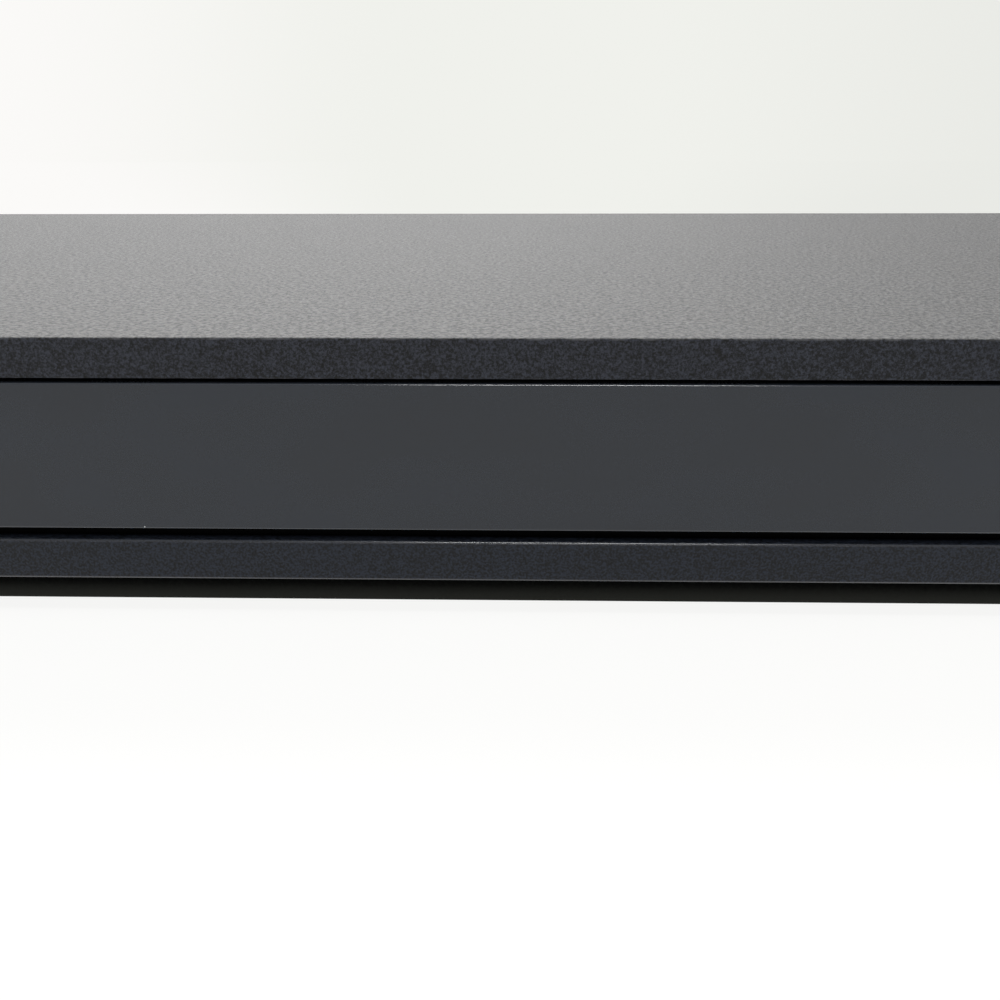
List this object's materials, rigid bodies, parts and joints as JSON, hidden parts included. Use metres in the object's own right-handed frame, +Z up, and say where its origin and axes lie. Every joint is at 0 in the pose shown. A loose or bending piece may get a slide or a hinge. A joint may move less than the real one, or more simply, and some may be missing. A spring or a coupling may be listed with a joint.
{
  "type": "disc player",
  "caption": "Low, full-width black metal disc player with a powered tray behind a plain panel, front keys, a side-hinged port door and rear sockets.",
  "frame": {"origin": "on the surface it stands on, under the middle of the case", "axes": "+X to the right seen from the front, +Y from the front to the rear, +Z up"},
  "size_m": [0.43, 0.265, 0.054],
  "materials": {
    "cover_paint": "textured black paint on sheet steel",
    "chassis_paint": "black coated sheet steel",
    "panel_plastic": "smooth semi-gloss dark grey moulding",
    "sill_plastic": "finely grained near-black moulding",
    "inner_plastic": "plain black moulding",
    "black_plastic": "satin black moulding",
    "gear_plastic": "natural white gear plastic",
    "rubber": "matt black rubber",
    "plated_metal": "bright zinc-plated steel",
    "sink_metal": "black anodised",
    "board": "green solder mask",
    "window": "dark infrared window",
    "light_pipe": "clear to milky light pipe",
    "lens_glass": "coated lens in its holder",
    "tape": "yellow winding tape",
    "sleeve": "dark blue shrink sleeve",
    "ribbon": "pale flat cable",
    "wire": "red wire sleeve",
    "screw_metal": "black oxide screws",
    "mark": "grey printed symbols",
    "contact": "gilt contacts"
  },
  "bodies": {
    "case": {"top_cover": "cover_paint", "base_chassis": "chassis_paint", "rear_panel": "cover_paint", "front_frame": "inner_plastic", "front_sill": "sill_plastic", "fascia_left": "panel_plastic", "fascia_right": "panel_plastic", "foot_front_left": "black_plastic", "foot_front_right": "black_plastic", "foot_rear_left": "black_plastic", "foot_rear_right": "black_plastic", "pad_front_left": "rubber", "pad_front_right": "rubber", "pad_rear_left": "rubber", "pad_rear_right": "rubber", "button_board": "board", "power_switch": "black_plastic", "eject_switch": "black_plastic", "usb_socket": "plated_metal", "remote_window": "window", "status_light_pipe": "light_pipe", "loader_frame": "inner_plastic", "clamper_bridge": "plated_metal", "loading_motor": "plated_metal", "drive_belt": "rubber", "main_board": "board", "processor": "black_plastic", "heat_sink": "sink_metal", "hdmi_socket_1": "plated_metal", "hdmi_socket_2": "plated_metal", "lan_socket": "plated_metal", "optical_socket": "black_plastic", "power_board": "board", "transformer": "tape", "filter_capacitor": "sleeve", "mains_inlet": "black_plastic", "ribbon_cable": "ribbon", "power_harness": "wire"},
    "tray": {"disc_tray": "black_plastic", "tray_panel": "panel_plastic"},
    "tray_gear": {"tray_gear": "gear_plastic"},
    "pulley_gear": {"pulley_gear": "gear_plastic"},
    "motor_pulley": {"motor_pulley": "gear_plastic"},
    "clamper": {"clamper_puck": "black_plastic"},
    "cam": {"lift_cam": "gear_plastic"},
    "traverse": {"traverse_frame": "plated_metal", "spindle_motor": "plated_metal", "guide_shaft_left": "plated_metal", "guide_shaft_right": "plated_metal", "sled_motor": "plated_metal"},
    "spindle": {"spindle_rotor": "plated_metal", "turntable": "black_plastic"},
    "sled": {"pickup_sled": "inner_plastic"},
    "lens": {"objective_lens": "lens_glass"},
    "screw": {"lead_screw": "plated_metal"},
    "power_key": {"power_button": "panel_plastic"},
    "eject_key": {"eject_button": "panel_plastic"},
    "front_door": {"usb_door": "panel_plastic"}
  },
  "joints": [
    {"name": "tray_slide", "type": "slide", "parent": "case", "child": "tray", "axis": [0, -1, 0], "range_m": [0, 0.14]},
    {"name": "tray_gear_spin", "type": "hinge", "parent": "case", "child": "tray_gear", "pos_m": [0.0418, -0.1085, 0.026], "axis": [0, 0, -1], "continuous": true},
    {"name": "pulley_gear_spin", "type": "hinge", "parent": "case", "child": "pulley_gear", "pos_m": [0.0218, -0.1085, 0.024], "axis": [0, 0, 1], "continuous": true},
    {"name": "motor_pulley_spin", "type": "hinge", "parent": "case", "child": "motor_pulley", "pos_m": [-0.0142, -0.1085, 0.022], "axis": [0, 0, 1], "continuous": true},
    {"name": "lift_cam_slide", "type": "slide", "parent": "case", "child": "cam", "axis": [1, 0, 0], "range_m": [0, 0.016]},
    {"name": "traverse_tilt", "type": "hinge", "parent": "case", "child": "traverse", "pos_m": [0, 0.0325, 0.0192], "axis": [1, 0, 0], "range_deg": [0, 3]},
    {"name": "spindle_spin", "type": "hinge", "parent": "traverse", "child": "spindle", "pos_m": [0, -0.0575, 0.03], "axis": [0, 0, 1], "continuous": true},
    {"name": "clamper_spin", "type": "hinge", "parent": "case", "child": "clamper", "pos_m": [0, -0.0575, 0.041], "axis": [0, 0, 1], "continuous": true},
    {"name": "sled_slide", "type": "slide", "parent": "traverse", "child": "sled", "axis": [0, 1, 0], "range_m": [0, 0.034]},
    {"name": "lens_focus", "type": "slide", "parent": "sled", "child": "lens", "axis": [0, 0, 1], "range_m": [-0.0007, 0.0007], "stiffness_N_per_m": 100},
    {"name": "lead_screw_spin", "type": "hinge", "parent": "traverse", "child": "screw", "pos_m": [0.036, -0.02, 0.025], "axis": [0, 1, 0], "continuous": true},
    {"name": "power_button_press", "type": "slide", "parent": "case", "child": "power_key", "axis": [0, 1, 0], "range_m": [0, 0.0008], "stiffness_N_per_m": 600},
    {"name": "eject_button_press", "type": "slide", "parent": "case", "child": "eject_key", "axis": [0, 1, 0], "range_m": [0, 0.0008], "stiffness_N_per_m": 600},
    {"name": "usb_door_swing", "type": "hinge", "parent": "case", "child": "front_door", "pos_m": [0.12624, -0.1313, 0.03265], "axis": [0, 0, -1], "range_deg": [0, 90]}
  ],
  "couplings": [
    {"joint": "tray_gear_spin", "follows": "tray_slide", "rad_per_m": 71.429},
    {"joint": "pulley_gear_spin", "follows": "tray_slide", "rad_per_m": 166.67},
    {"joint": "motor_pulley_spin", "follows": "tray_slide", "rad_per_m": 620.37},
    {"joint": "traverse_tilt", "follows": "lift_cam_slide", "rad_per_m": 3.2724},
    {"joint": "clamper_spin", "follows": "spindle_spin", "ratio": 1},
    {"joint": "lead_screw_spin", "follows": "sled_slide", "rad_per_m": 2094.4}
  ]
}
